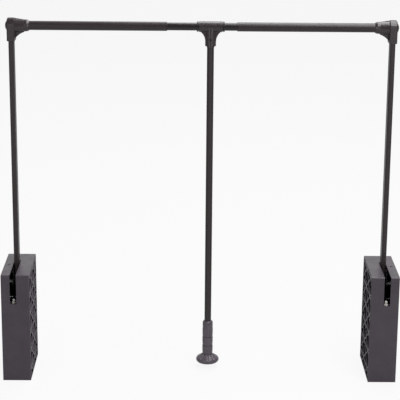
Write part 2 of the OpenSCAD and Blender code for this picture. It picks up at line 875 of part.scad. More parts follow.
// The collar, with a shallow petal over each ridge of the barrels
module grip_collar() {
    difference() {
        translate([0, 0, barrels_top - bite]) rotate_extrude() collar_profile();
        flute_places() translate([grip_collar_r - petal_depth + petal_r, 0, barrels_top + petal_z])
            sphere(petal_r);
    }
}

// One barrel: widest near its top, drawn in towards the groove at the joint below
module barrel_profile() {
    groove_r = barrel_r - barrel_dip - groove_depth;
    polygon(concat([[0, 0], [groove_r, 0], [groove_r, groove_h]], [for (k = [0 : barrel_steps])
        let (t = k / barrel_steps)
        [barrel_r - barrel_dip * pow((t - barrel_peak) / barrel_peak, 2),
            max(t * barrel_h, groove_h)]],
        [[0, barrel_h]]));
}

module collar_profile() {
    h = grip_collar_h + bite;
    square([grip_collar_r, h - collar_arc]);
    square([grip_collar_r - collar_arc, h]);
    translate([grip_collar_r - collar_arc, h - collar_arc]) circle(collar_arc);
}

module grip_bell() {
    color(abs_black) translate([rod_x, pivot_y, 0]) difference() {
        union() {
            rotate_extrude() bell_profile();
            translate([0, 0, bell_top - bite])
                cylinder(h = spigot_top - bell_top + bite, r = bell_spigot_r);
        }
        flute_places() translate([neck_low_r, 0, bell_top]) rotate([0, 90 + flare_slope, 0])
            translate([bell_flute_depth - bell_flute_r, 0, -over]) cylinder(h = bell_r, r = bell_flute_r);
        translate([0, 0, grip_z - over]) cylinder(h = grip_head_z - grip_z + over, r = grip_head_r);
        translate([0, 0, grip_z]) cylinder(h = spigot_top, r = small_screw_r + fit_gap);
    }
}

// The bell: a thick round rim under a straight fluted flare
module bell_profile() {
    translate([bell_r - rim_r, grip_z + rim_r]) circle(rim_r);
    polygon([
        [0, grip_z], [bell_r - rim_r, grip_z],
        [flare_x, flare_z], [neck_low_r, bell_top], [0, bell_top]]);
}

module grip_screw() {
    color(zinc) translate([rod_x, pivot_y, 0]) {
        translate([0, 0, grip_head_z - fit_gap - small_head_t])
            cylinder(h = small_head_t, r = small_head_r);
        translate([0, 0, grip_head_z - fit_gap - small_head_t])
            cylinder(h = spigot_top + rod_plug_len - grip_head_z, r = small_screw_r);
    }
}

housing();  // left_housing
wall_plate();  // left_wall_plate
axle();  // left_axle
anchor_pin();  // left_anchor_pin
spring(-1);  // left_spring_outer
spring(1);  // left_spring_inner
damper();  // left_damper
buffer();  // left_buffer
case_screws();  // left_case_screws
plunger();  // left_plunger
crank();  // left_crank
bushes();  // left_bushes
crank_pin();  // left_crank_pin
crank_rivets();  // left_crank_rivets
arm();  // left_arm
elbow();  // left_elbow
elbow_cap();  // left_elbow_cap
elbow_screw();  // left_elbow_screw
rail_plug();  // left_rail_plug
rail_tube();  // left_rail_tube
inner_tube();
inner_tube_glides();
retaining_rings();
rod_tee();
tee_screw();
pull_rod();
rod_plug();
grip_sleeve();
grip_bell();
grip_screw();
mirrored("right") housing();  // right_housing
mirrored("right") wall_plate();  // right_wall_plate
mirrored("right") axle();  // right_axle
mirrored("right") anchor_pin();  // right_anchor_pin
mirrored("right") spring(-1);  // right_spring_outer
mirrored("right") spring(1);  // right_spring_inner
mirrored("right") damper();  // right_damper
mirrored("right") buffer();  // right_buffer
mirrored("right") case_screws();  // right_case_screws
mirrored("right") plunger();  // right_plunger
mirrored("right") crank();  // right_crank
mirrored("right") bushes();  // right_bushes
mirrored("right") crank_pin();  // right_crank_pin
mirrored("right") crank_rivets();  // right_crank_rivets
mirrored("right") arm();  // right_arm
mirrored("right") elbow();  // right_elbow
mirrored("right") elbow_cap();  // right_elbow_cap
mirrored("right") elbow_screw();  // right_elbow_screw
mirrored("right") rail_plug();  // right_rail_plug
mirrored("right") rail_tube();  // right_rail_tube
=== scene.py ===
"""Dresses the pull-down wardrobe rail: its finishes, coil springs, small screws, stage and camera."""
import json
import math

import bpy
from bpy.props import FloatProperty, FloatVectorProperty, IntProperty, PointerProperty
from mathutils import Matrix, Vector

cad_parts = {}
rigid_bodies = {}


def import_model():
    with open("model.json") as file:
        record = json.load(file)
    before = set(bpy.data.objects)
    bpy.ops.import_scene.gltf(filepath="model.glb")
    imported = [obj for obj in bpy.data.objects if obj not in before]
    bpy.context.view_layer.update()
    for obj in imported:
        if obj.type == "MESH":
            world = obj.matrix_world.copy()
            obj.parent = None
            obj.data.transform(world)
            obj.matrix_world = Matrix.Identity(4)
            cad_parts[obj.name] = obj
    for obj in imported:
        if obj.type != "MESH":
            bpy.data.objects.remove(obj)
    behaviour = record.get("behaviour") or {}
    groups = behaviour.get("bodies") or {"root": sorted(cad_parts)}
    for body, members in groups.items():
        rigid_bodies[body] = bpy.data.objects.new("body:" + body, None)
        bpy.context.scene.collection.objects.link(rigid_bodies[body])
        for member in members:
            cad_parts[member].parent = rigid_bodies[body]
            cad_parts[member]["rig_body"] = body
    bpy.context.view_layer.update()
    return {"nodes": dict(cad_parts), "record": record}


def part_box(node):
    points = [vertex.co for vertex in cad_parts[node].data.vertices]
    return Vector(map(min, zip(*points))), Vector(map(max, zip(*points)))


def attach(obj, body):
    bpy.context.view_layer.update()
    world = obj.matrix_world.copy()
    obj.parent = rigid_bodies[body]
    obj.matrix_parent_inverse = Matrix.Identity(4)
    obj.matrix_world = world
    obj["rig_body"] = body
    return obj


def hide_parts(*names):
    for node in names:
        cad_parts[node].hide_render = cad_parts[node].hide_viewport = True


bl_info = {
    "name": "Pull-down wardrobe rail",
    "version": (1, 0, 0),
    "blender": (4, 5, 0),
    "location": "View3D > Sidebar > Wardrobe rail",
    "description": "Finishes, springs, screws and stage for a pull-down wardrobe rail",
    "category": "Object",
}

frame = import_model()

MM = 0.001
SIDES = ("left", "right")
SLOT_OF = {part["node"]: part["material_slot"] for part in frame["record"]["subparts"]}


# Colour and measures

def linear(hex_code):
    """An sRGB hex colour as linear red, green and blue."""
    channels = [int(hex_code[i:i + 2], 16) / 255 for i in (1, 3, 5)]
    return [c / 12.92 if c <= 0.04045 else ((c + 0.055) / 1.055) ** 2.4 for c in channels]


def every(millimetres):
    """The scale of a pattern whose features lie that many millimetres apart."""
    return 1000.0 / millimetres


def middle(node):
    """The centre of a node's box."""
    low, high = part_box(node)
    return (low + high) / 2


# Sizes and colours that a user would change

class FinishSettings(bpy.types.PropertyGroup):
    """Colours of the plastics, the coating and the metals."""

    housing: FloatVectorProperty(
        name="Gearbox housing", description="Dark ABS of the two gearbox housings",
        subtype="COLOR", size=3, min=0, max=1, default=linear("#3A323C"))
    moulding: FloatVectorProperty(
        name="Small mouldings", description="Near-black nylon of the elbows and the tee",
        subtype="COLOR", size=3, min=0, max=1, default=linear("#2F272B"))
    grip: FloatVectorProperty(
        name="Grip", description="Dark grey polypropylene of the grip and its bell foot",
        subtype="COLOR", size=3, min=0, max=1, default=linear("#534B55"))
    ring: FloatVectorProperty(
        name="Retaining rings", description="Black acetal of the rings beside the tee",
        subtype="COLOR", size=3, min=0, max=1, default=linear("#0F0D0E"))
    coating: FloatVectorProperty(
        name="Tube coating", description="Dark powder coat on the arms, the rail and the pull rod",
        subtype="COLOR", size=3, min=0, max=1, default=linear("#261C1E"))
    inner_coating: FloatVectorProperty(
        name="Inner tube", description="Dark powder coat of the inner tube, rubbed smooth",
        subtype="COLOR", size=3, min=0, max=1, default=linear("#181011"))
    zinc: FloatVectorProperty(
        name="Zinc plate", description="Passivated zinc on the plates, pins and bolts",
        subtype="COLOR", size=3, min=0, max=1, default=linear("#C3C6C8"))
    wire: FloatVectorProperty(
        name="Spring wire", description="Drawn spring steel wire",
        subtype="COLOR", size=3, min=0, max=1, default=linear("#8D8C8A"))
    black_steel: FloatVectorProperty(
        name="Blackened steel", description="Black oxide on the cranks and small screws",
        subtype="COLOR", size=3, min=0, max=1, default=linear("#454247"))
    acetal: FloatVectorProperty(
        name="Acetal", description="Natural acetal of the bushes, glides and damper rods",
        subtype="COLOR", size=3, min=0, max=1, default=linear("#E4E2DA"))
    rubber: FloatVectorProperty(
        name="Rubber", description="Pale rubber of the buffers",
        subtype="COLOR", size=3, min=0, max=1, default=linear("#F0EFEA"))


class SpringSettings(bpy.types.PropertyGroup):
    """Sizes of the extension springs."""

    wire_radius: FloatProperty(
        name="Wire radius", description="Radius of the spring wire", unit="LENGTH",
        min=0.5 * MM, max=1.2 * MM, default=0.97 * MM)
    hook_gap: FloatProperty(
        name="Hook gap", description="Free space between the hook and the pin it hangs on",
        unit="LENGTH", min=0, max=0.5 * MM, default=0.05 * MM)
    coil_start: FloatProperty(
        name="Coil start", description="Distance from the pin to the first close turn",
        unit="LENGTH", min=9 * MM, max=16 * MM, default=12 * MM)
    turn_steps: IntProperty(
        name="Steps per turn", description="Points along the wire in each turn of the coil",
        min=8, max=48, default=16)


class ScrewSettings(bpy.types.PropertyGroup):
    """Sizes of the drives in the small screws."""

    cross_width: FloatProperty(
        name="Cross width", description="Width of the arms of the cross recess", unit="LENGTH",
        min=0.4 * MM, max=1.2 * MM, default=0.8 * MM)
    cross_depth: FloatProperty(
        name="Cross depth", description="Depth of the cross recess", unit="LENGTH",
        min=0.5 * MM, max=1.8 * MM, default=1.2 * MM)
    hex_radius: FloatProperty(
        name="Hexagon radius", description="Radius of the hexagon in the headless screws",
        unit="LENGTH", min=0.8 * MM, max=2 * MM, default=1.7 * MM)
    hex_depth: FloatProperty(
        name="Hexagon depth", description="Depth of the hexagon in the headless screws",
        unit="LENGTH", min=1 * MM, max=4 * MM, default=2.5 * MM)


class StageSettings(bpy.types.PropertyGroup):
    """The floor, the light and the camera. The camera's defaults are fitted to the photograph."""

    floor_size: FloatProperty(
        name="Floor size", description="Side of the square floor", unit="LENGTH",
        min=5, max=100, default=60)
    floor_colour: FloatVectorProperty(
        name="Floor colour", description="Pale paper of the floor", subtype="COLOR", size=3,
        min=0, max=1, default=linear("#C8C8C7"))
    floor_shade: FloatProperty(
        name="Floor shade", description="Share of the floor that takes light and shadow",
        subtype="FACTOR", min=0, max=1, default=0.1)
    room_light: FloatProperty(
        name="Room light", description="Strength of the even light from all round",
        min=0, max=2, default=0.3)
    room_gloss: FloatProperty(
        name="Room in reflections",
        description="Share of white that gloss meets on the floor and beside the backdrop",
        subtype="FACTOR", min=0, max=1, default=0.2)
    top_power: FloatProperty(
        name="Top light", description="Power of the soft strip over the right side",
        subtype="POWER", min=0, max=400, default=125)
    side_power: FloatProperty(
        name="Side lights", description="Power of each of the two soft lights in front",
        subtype="POWER", min=0, max=200, default=17)
    lens: FloatProperty(
        name="Focal length", description="Focal length on a 36 mm wide frame, in millimetres",
        min=20, max=400, default=137.09)
    camera_place: FloatVectorProperty(
        name="Camera place", description="The camera's place in the part's frame", subtype="XYZ",
        unit="LENGTH", size=3, default=(-0.0301, -3.4491, 1.3893))
    camera_pitch: FloatProperty(
        name="Camera pitch", description="Angle that the camera looks down", subtype="ANGLE",
        min=-math.pi / 2, max=math.pi / 2, default=math.radians(15.641))
    camera_yaw: FloatProperty(
        name="Camera yaw", description="Angle that the camera looks to the left", subtype="ANGLE",
        min=-math.pi, max=math.pi, default=math.radians(-0.470))
    camera_roll: FloatProperty(
        name="Camera roll", description="Angle that the camera is tipped about its own view",
        subtype="ANGLE", min=-math.pi, max=math.pi, default=math.radians(0.490))


class RailSettings(bpy.types.PropertyGroup):
    """All the settings of the dressed rail."""

    finish: PointerProperty(type=FinishSettings)
    spring: PointerProperty(type=SpringSettings)
    screw: PointerProperty(type=ScrewSettings)
    stage: PointerProperty(type=StageSettings)


# Materials

# The range that nearly all values of a noise texture lie in
NOISE_LOW, NOISE_HIGH = 0.3, 0.7
# Cosines of the leans, 6 and 21 degrees, at which a corner starts to be painted paler and is fully so:
# partly wear, partly a painted highlight
PALE_EDGE_START, PALE_EDGE_FULL = 0.995, 0.93


def find(sockets, key):
    """A socket by its place, its identifier or its name."""
    if isinstance(key, int):
        return sockets[key]
    return next(s for s in sockets if key in (s.identifier, s.name))


def add(tree, kind, inputs=None, **settings):
    """Adds a node with its settings, and sets or links its inputs."""
    node = tree.nodes.new(kind)
    for name, value in settings.items():
        setattr(node, name, value)
    for key, value in (inputs or {}).items():
        socket = find(node.inputs, key)
        if isinstance(value, bpy.types.NodeSocket):
            tree.links.new(value, socket)
        else:
            socket.default_value = value
    return node


def blank(name):
    """An empty node material, and its tree."""
    material = bpy.data.materials.new(name)
    material.use_nodes = True
    material.node_tree.nodes.clear()
    return material, material.node_tree


def rgba(colour, shade):
    """A colour with its alpha, lightened or darkened by a factor."""
    return [min(1.0, c * shade) for c in colour] + [1.0]


def toned(tree, coords, colour, patch, spread):
    """A colour that wanders a little, in patches of that many millimetres."""
    patches = add(tree, "ShaderNodeTexNoise",
                  {"Vector": coords, "Scale": every(patch), "Detail": 4.0, "Roughness": 0.6})
    even = add(tree, "ShaderNodeMapRange",
               {"Value": patches.outputs[0], "From Min": NOISE_LOW, "From Max": NOISE_HIGH})
    mix = add(tree, "ShaderNodeMix",
              {"Factor_Float": even.outputs[0], "A_Color": rgba(colour, 1 - spread),
               "B_Color": rgba(colour, 1 + spread)}, data_type="RGBA")
    return find(mix.outputs, "Result_Color")


def varied(tree, coords, patch, low, high):
    """A value that wanders between two limits, in patches of that many millimetres."""
    patches = add(tree, "ShaderNodeTexNoise",
                  {"Vector": coords, "Scale": every(patch), "Detail": 3.0})
    return add(tree, "ShaderNodeMapRange",
               {"Value": patches.outputs[0], "From Min": NOISE_LOW, "From Max": NOISE_HIGH,
                "To Min": low, "To Max": high}).outputs[0]


def relief(tree, coords, edge, spacing, depth, strength, **details):
    """A normal that follows a noise, sized in millimetres, over a soft edge if there is one."""
    bumps = add(tree, "ShaderNodeTexNoise", {"Vector": coords, "Scale": every(spacing), **details})
    inputs = {"Strength": strength, "Distance": depth * MM, "Height": bumps.outputs[0]}
    if edge is not None:
        inputs["Normal"] = edge
    return add(tree, "ShaderNodeBump", inputs).outputs[0]


def wear_and_edge_highlight(tree, colour, edge, gain):
    """The colour, lightened at corners where the soft normal leans away from the flat one: partly wear,
    partly a painted highlight on the rounded edge.
    """
    flat = add(tree, "ShaderNodeNewGeometry")
    agree = add(tree, "ShaderNodeVectorMath", {0: edge, 1: flat.outputs["Normal"]},
                operation="DOT_PRODUCT")
    pale_edge = add(tree, "ShaderNodeMapRange",
               {"Value": agree.outputs["Value"], "From Min": PALE_EDGE_FULL, "From Max": PALE_EDGE_START,
                "To Min": 1.0, "To Max": 0.0})
    lift = add(tree, "ShaderNodeHueSaturation",
               {"Color": colour, "Value": gain, "Fac": pale_edge.outputs[0]})
    return lift.outputs["Color"]


def moulded_abs(tree, coords, colour):
    """ABS, moulded in a spark-eroded tool: a dull, even grain that softens every reflection."""
    # The tool's corners are about a millimetre round, and are painted paler: partly rubbed with use,
    # partly a painted highlight on the rounding
    edge = add(tree, "ShaderNodeBevel", {"Radius": 1.0 * MM}, samples=6).outputs[0]
    # The real grain is about 0.1 mm across, and is drawn at 1.4 mm so that it shows
    grain = relief(tree, coords, edge, spacing=1.4, depth=0.1, strength=0.7,
                   Detail=3.0, Roughness=0.7)
    # Flow marks of the melt wander over some 45 mm
    tone = wear_and_edge_highlight(tree, toned(tree, coords, colour, 45, 0.16), edge, 1.9)
    return add(tree, "ShaderNodeBsdfPrincipled",
               {"Base Color": tone, "IOR": 1.54, "Normal": grain,
                "Roughness": varied(tree, coords, 22, 0.36, 0.46)})


def moulded_nylon(tree, coords, colour):
    """Nylon with glass fibre, moulded smooth: near black, with a soft gloss and faint fibre clouds."""
    edge = add(tree, "ShaderNodeBevel", {"Radius": 0.4 * MM}, samples=6).outputs[0]
    # Fibre marks are 1 to 3 mm long on the skin
    fibre = relief(tree, coords, edge, spacing=2.2, depth=0.05, strength=0.15,
                   Detail=2.0, Roughness=0.4)
    # Corners painted paler: partly wear, partly a painted highlight
    tone = wear_and_edge_highlight(tree, toned(tree, coords, colour, 16, 0.09), edge, 1.3)
    return add(tree, "ShaderNodeBsdfPrincipled",
               {"Base Color": tone, "IOR": 1.53, "Normal": fibre,
                "Roughness": varied(tree, coords, 9, 0.2, 0.28)})


def moulded_polypropylene(tree, coords, colour):
    """Polypropylene, moulded with a fine satin skin: dark grey, with soft bands down its flutes."""
    edge = add(tree, "ShaderNodeBevel", {"Radius": 0.4 * MM}, samples=6).outputs[0]
    # The satin texture is about 0.1 mm fine, and is drawn at 0.8 mm so that it shows
    satin = relief(tree, coords, edge, spacing=0.8, depth=0.04, strength=0.2,
                   Detail=2.0, Roughness=0.6)
    # The corners of the ridges are painted paler: partly polish from hands, partly a painted highlight;
    # the hollows keep the plain colour
    tone = wear_and_edge_highlight(tree, toned(tree, coords, colour, 12, 0.1), edge, 1.5)
    return add(tree, "ShaderNodeBsdfPrincipled",
               {"Base Color": tone, "IOR": 1.49, "Normal": satin,
                "Roughness": varied(tree, coords, 14, 0.28, 0.38)})


def powder_coat(tree, coords, colour):
    """Steel tube, powder coated: a thick satin skin with a slight orange peel."""
    edge = add(tree, "ShaderNodeBevel", {"Radius": 0.3 * MM}, samples=4).outputs[0]
    # The peel's dimples are about 2 mm apart and a few hundredths deep
    peel = relief(tree, coords, edge, spacing=2, depth=0.05, strength=0.3, Detail=1.0)
    # The coat lies a little thicker and thinner over some 70 mm
    # Corners painted paler: partly wear, partly a painted highlight
    tone = wear_and_edge_highlight(tree, toned(tree, coords, colour, 70, 0.08), edge, 1.4)
    return add(tree, "ShaderNodeBsdfPrincipled",
               {"Base Color": tone, "IOR": 1.5, "Normal": peel,
                "Roughness": varied(tree, coords, 35, 0.3, 0.38)})


def rubbed_coat(tree, coords, colour):
    """The same powder coat where the glides rub it: darker and smoother, with fine lines along it."""
    # Rub marks run along the tube, drawn about 1.2 mm apart and 60 mm long
    along = add(tree, "ShaderNodeMapping", {"Vector": coords, "Scale": (0.02, 1.0, 1.0)}).outputs[0]
    marks = relief(tree, along, None, spacing=1.2, depth=0.03, strength=0.2, Detail=3.0)
    return add(tree, "ShaderNodeBsdfPrincipled",
               {"Base Color": toned(tree, along, colour, 3, 0.2), "IOR": 1.5, "Normal": marks,
                "Roughness": varied(tree, coords, 20, 0.24, 0.3)})


def zinc_plate(tree, coords, colour):
    """Steel, zinc plated and passivated: a cool grey metal with fine rolling lines under the zinc."""
    # Rolling lines run up the sheet, about 0.8 mm apart and 40 mm long
    rolled = add(tree, "ShaderNodeMapping", {"Vector": coords, "Scale": (1.0, 1.0, 0.02)}).outputs[0]
    lines = relief(tree, rolled, None, spacing=0.8, depth=0.02, strength=0.2, Detail=2.0)
    return add(tree, "ShaderNodeBsdfPrincipled",
               {"Base Color": toned(tree, coords, colour, 12, 0.07), "Metallic": 1.0,
                "Normal": lines, "Roughness": varied(tree, coords, 6, 0.26, 0.4)})


def drawn_wire(tree, coords, colour):
    """Spring steel wire, drawn through a die and oiled: dark grey with thin bright scratches."""
    # Die scratches are drawn about 0.5 mm apart
    scratches = relief(tree, coords, None, spacing=0.5, depth=0.02, strength=0.15,
                       Detail=3.0, Distortion=1.0)
    return add(tree, "ShaderNodeBsdfPrincipled",
               {"Base Color": toned(tree, coords, colour, 5, 0.15), "Metallic": 1.0,
                "Normal": scratches, "Roughness": varied(tree, coords, 3, 0.2, 0.36)})


def black_oxide(tree, coords, colour):
    """Steel, blackened in a hot bath: a thin dark film, with metal showing at the corners."""
    edge = add(tree, "ShaderNodeBevel", {"Radius": 0.2 * MM}, samples=4).outputs[0]
    # Corners painted paler: partly metal showing through the film, partly a painted highlight
    tone = wear_and_edge_highlight(tree, toned(tree, coords, colour, 3, 0.12), edge, 2.2)
    return add(tree, "ShaderNodeBsdfPrincipled",
               {"Base Color": tone, "Metallic": 1.0, "Normal": edge,
                "Roughness": varied(tree, coords, 2, 0.34, 0.46)})


def moulded_acetal(tree, coords, colour):
    """Acetal, moulded, off-white or dyed black: waxy, and it lets a little light in."""
    # Clouds round the gate are some 8 mm across
    return add(tree, "ShaderNodeBsdfPrincipled",
               {"Base Color": toned(tree, coords, colour, 8, 0.03), "IOR": 1.48,
                "Subsurface Weight": 0.2, "Subsurface Scale": 1.5 * MM,
                "Roughness": varied(tree, coords, 5, 0.34, 0.44)})


def pale_rubber(tree, coords, colour):
    """Natural rubber, moulded: matt, with a dusty bloom."""
    bloom = relief(tree, coords, None, spacing=0.9, depth=0.05, strength=0.3, Detail=4.0)
    return add(tree, "ShaderNodeBsdfPrincipled",
               {"Base Color": toned(tree, coords, colour, 4, 0.05), "IOR": 1.52,
                "Sheen Weight": 0.15, "Normal": bloom,
                "Roughness": varied(tree, coords, 3, 0.7, 0.85)})


# The colour setting and the function of each finish. The first eight are the record's slots
FINISHES = {
    "moulded_housing": ("housing", moulded_abs),
    "moulded_black": ("moulding", moulded_nylon),
    "coated_tube": ("coating", powder_coat),
    "zinc_steel": ("zinc", zinc_plate),
    "spring_steel": ("wire", drawn_wire),
    "blackened_steel": ("black_steel", black_oxide),
    "acetal": ("acetal", moulded_acetal),
    "pale_rubber": ("rubber", pale_rubber),
    "moulded_grip": ("grip", moulded_polypropylene),
    "black_acetal": ("ring", moulded_acetal),
    "rubbed_coat": ("inner_coating", rubbed_coat),
}

# Pieces whose finish differs from that of the others in their slot
OWN_FINISH = {
    "grip_sleeve": "moulded_grip",
    "grip_bell": "moulded_grip",
    "retaining_rings": "black_acetal",
    "inner_tube": "rubbed_coat",
}


def finish_of(slot, context):
    """The material of a finish, made the first time it is asked for."""
    label, make = FINISHES[slot]
    name = slot + "_finish"
    if name not in bpy.data.materials:
        material, tree = blank(name)
        coords = add(tree, "ShaderNodeTexCoord").outputs["Object"]
        shader = make(tree, coords, list(getattr(context.scene.wardrobe_rail.finish, label)))
        add(tree, "ShaderNodeOutputMaterial", {"Surface": shader.outputs[0]})
    return bpy.data.materials[name]


def dress(slots, context):
    """Gives the CAD pieces of these slots their finish."""
    for node, piece in frame["nodes"].items():
        if SLOT_OF[node] in slots:
            material = finish_of(OWN_FINISH.get(node, SLOT_OF[node]), context)
            for slot in piece.material_slots:
                slot.material = material


# Meshes

# Faces round the spring wire, the cross screws and the headless screws
WIRE_SIDES, CROSS_STEPS, HEADLESS_STEPS = 8, 40, 24


def new_piece(name, points, faces, slot, context):
    """A mesh piece in the finish of a slot."""
    mesh = bpy.data.meshes.new(name)
    mesh.from_pydata([tuple(p) for p in points], [], faces)
    mesh.materials.append(finish_of(slot, context))
    piece = bpy.data.objects.new(name, mesh)
    context.scene.collection.objects.link(piece)
    return piece


def stand_for(piece, node):
    """Puts a piece in a CAD node's place."""
    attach(piece, frame["nodes"][node]["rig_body"])
    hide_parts(node)


def swept(path, radius, sides):
    """Points and faces of a round bar along a path, closed at both ends."""
    points, faces = [], []
    across = Vector((1.0, 0.0, 0.0))
    for i, spot in enumerate(path):
        ahead = (path[min(i + 1, len(path) - 1)] - path[max(i - 1, 0)]).normalized()
        across = (across - ahead * across.dot(ahead)).normalized()
        up = ahead.cross(across)
        for k in range(sides):
            turn = 2 * math.pi * k / sides
            points.append(spot + radius * (math.cos(turn) * across + math.sin(turn) * up))
    for i in range(len(path) - 1):
        for k in range(sides):
            a, b = i * sides + k, i * sides + (k + 1) % sides
            faces.append((a, b, b + sides, a + sides))
    last = (len(path) - 1) * sides
    faces.append(tuple(reversed(range(sides))))
    faces.append(tuple(range(last, last + sides)))
    return points, faces


def turned(profile, steps):
    """Points and faces of a piece turned about Z. The profile starts and ends on the axis."""
    inner = profile[1:-1]
    # The two ends on the axis come first, and then a ring for each corner
    points = [Vector((0, 0, profile[0][1])), Vector((0, 0, profile[-1][1]))]
    for r, z in inner:
        for k in range(steps):
            turn = 2 * math.pi * k / steps
            points.append(Vector((r * math.cos(turn), r * math.sin(turn), z)))
    faces = []
    for k in range(steps):
        after = (k + 1) % steps
        faces.append((0, 2 + after, 2 + k))
        for ring in range(len(inner) - 1):
            a, b = 2 + ring * steps + k, 2 + ring * steps + after
            faces.append((a, b, b + steps, a + steps))
        end = 2 + (len(inner) - 1) * steps
        faces.append((1, end + k, end + after))
    return points, faces


def hollow(piece, cutters, context):
    """Cuts solids of points and faces out of a piece, and keeps the result as its mesh."""
    for points, faces in cutters:
        mesh = bpy.data.meshes.new("cutter")
        mesh.from_pydata([tuple(p) for p in points], [], faces)
        cutter = bpy.data.objects.new("cutter", mesh)
        context.scene.collection.objects.link(cutter)
        cut = piece.modifiers.new("cut", "BOOLEAN")
        cut.operation = "DIFFERENCE"
        cut.solver = "EXACT"
        cut.object = cutter
        context.view_layer.update()
        shaped = piece.evaluated_get(context.evaluated_depsgraph_get())
        result = bpy.data.meshes.new_from_object(shaped)
        piece.modifiers.remove(cut)
        piece.data = result
        bpy.data.objects.remove(cutter)
    piece.data.shade_flat()


def join_into(piece, mesh):
    """Adds another mesh's points and faces to a piece."""
    base = len(piece.data.vertices)
    points = [tuple(v.co) for v in (*piece.data.vertices, *mesh.vertices)]
    faces = [tuple(f.vertices) for f in piece.data.polygons]
    faces += [tuple(base + i for i in f.vertices) for f in mesh.polygons]
    both = bpy.data.meshes.new(piece.data.name + "_pair")
    both.from_pydata(points, [], faces)
    both.materials.append(piece.data.materials[0])
    piece.data = both


def block(half_x, half_y, z0, z1, taper):
    """Points and faces of a block that narrows towards z0."""
    points = [Vector((sx * half_x * s, sy * half_y * s, z))
              for z, s in ((z0, taper), (z1, 1.0)) for sx, sy in ((-1, -1), (1, -1), (1, 1), (-1, 1))]
    faces = [(3, 2, 1, 0), (4, 5, 6, 7), (0, 1, 5, 4), (1, 2, 6, 5), (2, 3, 7, 6), (3, 0, 4, 7)]
    return points, faces


def prism(radius, sides, z0, z1):
    """Points and faces of an upright prism."""
    points = [Vector((radius * math.cos(2 * math.pi * k / sides),
                      radius * math.sin(2 * math.pi * k / sides), z))
              for z in (z0, z1) for k in range(sides)]
    faces = [tuple(reversed(range(sides))), tuple(range(sides, 2 * sides))]
    faces += [(k, (k + 1) % sides, (k + 1) % sides + sides, k + sides) for k in range(sides)]
    return points, faces


# Springs

# The hook starts 50 degrees past its top, and runs round the pin to the top again
HOOK_FROM, HOOK_TO = math.radians(50), math.radians(360)
# From there the wire winds outwards over three quarters of a circle
GROW_FROM, GROW_TO = math.radians(90), math.radians(360)


def spring_path(span, coil_r, hook_r, pitch, settings):
    """The wire's centreline from one pin, at the origin, to the other, at span up Z."""
    turns = 2 * round((span - 2 * settings.coil_start) / pitch / 2)
    steps = settings.turn_steps
    half = []
    # The hook, most of a circle about the pin
    for k in range(steps + 1):
        turn = HOOK_FROM + (HOOK_TO - HOOK_FROM) * k / steps
        half.append(Vector((0, hook_r * math.sin(turn), hook_r * math.cos(turn))))
    # The wire spirals out from the middle to the first close turn
    for k in range(1, steps):
        share = k / steps
        ease = share * share * (3 - 2 * share)
        turn = GROW_FROM + (GROW_TO - GROW_FROM) * share
        z = hook_r + (settings.coil_start - hook_r) * share
        half.append(Vector((coil_r * ease * math.cos(turn), coil_r * ease * math.sin(turn), z)))
    # The close turns, up to the middle of the spring
    rise = (span / 2 - settings.coil_start) / (turns / 2)
    for k in range(turns // 2 * steps + 1):
        turn = 2 * math.pi * k / steps
        half.append(Vector((coil_r * math.cos(turn), coil_r * math.sin(turn),
                            settings.coil_start + rise * k / steps)))
    other = [Vector((p.x, -p.y, span - p.z)) for p in half]
    return half + other[-2::-1]


# Screws

# The cross screws: radius of the shank, height of the head, and the bevel of head and tip
SHANK_RADIUS, HEAD_HEIGHT, HEAD_EDGE = 2 * MM, 1.9 * MM, 0.5 * MM
# How far the cross reaches out on the head, and how much of its size its bottom keeps, as shares
CROSS_REACH, CROSS_TAPER = 0.62, 0.6
# The headless screws: length, and the bevel of both ends
HEADLESS_LENGTH, HEADLESS_EDGE = 9 * MM, 0.35 * MM


# Operators

class WARDROBE_OT_plastics(bpy.types.Operator):
    """Give the housings, mouldings, bushes and buffers their plastic finishes"""

    bl_idname = "wardrobe_rail.plastics"
    bl_label = "Plastics"

    def execute(self, context):
        dress(("moulded_housing", "moulded_black", "acetal", "pale_rubber"), context)
        return {"FINISHED"}


class WARDROBE_OT_metals(bpy.types.Operator):
    """Give the coated tubes, the plated plates and pins and the black screws their finishes"""

    bl_idname = "wardrobe_rail.metals"
    bl_label = "Metals"

    def execute(self, context):
        dress(("coated_tube", "zinc_steel", "spring_steel", "blackened_steel"), context)
        return {"FINISHED"}


class WARDROBE_OT_springs(bpy.types.Operator):
    """Wind the four extension springs from one wire each, with a hook on each pin"""

    bl_idname = "wardrobe_rail.springs"
    bl_label = "Springs"

    def execute(self, context):
        settings = context.scene.wardrobe_rail.spring
        for side in SIDES:
            anchor, crank = middle(side + "_anchor_pin"), middle(side + "_crank_pin")
            low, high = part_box(side + "_anchor_pin")
            hook_r = (high.z - low.z) / 2 + settings.wire_radius + settings.hook_gap
            along = Vector((0, crank.y - anchor.y, crank.z - anchor.z))
            tilt = Vector((0, 0, 1)).rotation_difference(along.normalized()).to_matrix()
            for place in ("outer", "inner"):
                node = side + "_spring_" + place
                low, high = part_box(node)
                coil_r = (high.x - low.x) / 2 - settings.wire_radius
                seat = Vector(((low.x + high.x) / 2, anchor.y, anchor.z))
                path = spring_path(along.length, coil_r, hook_r, 2 * settings.wire_radius, settings)
                points, faces = swept([seat + tilt @ p for p in path], settings.wire_radius, WIRE_SIDES)
                piece = new_piece(side + "_coil_" + place, points, faces, "spring_steel", context)
                piece.data.validate()
                piece.data.shade_smooth()
                stand_for(piece, node)
        return {"FINISHED"}


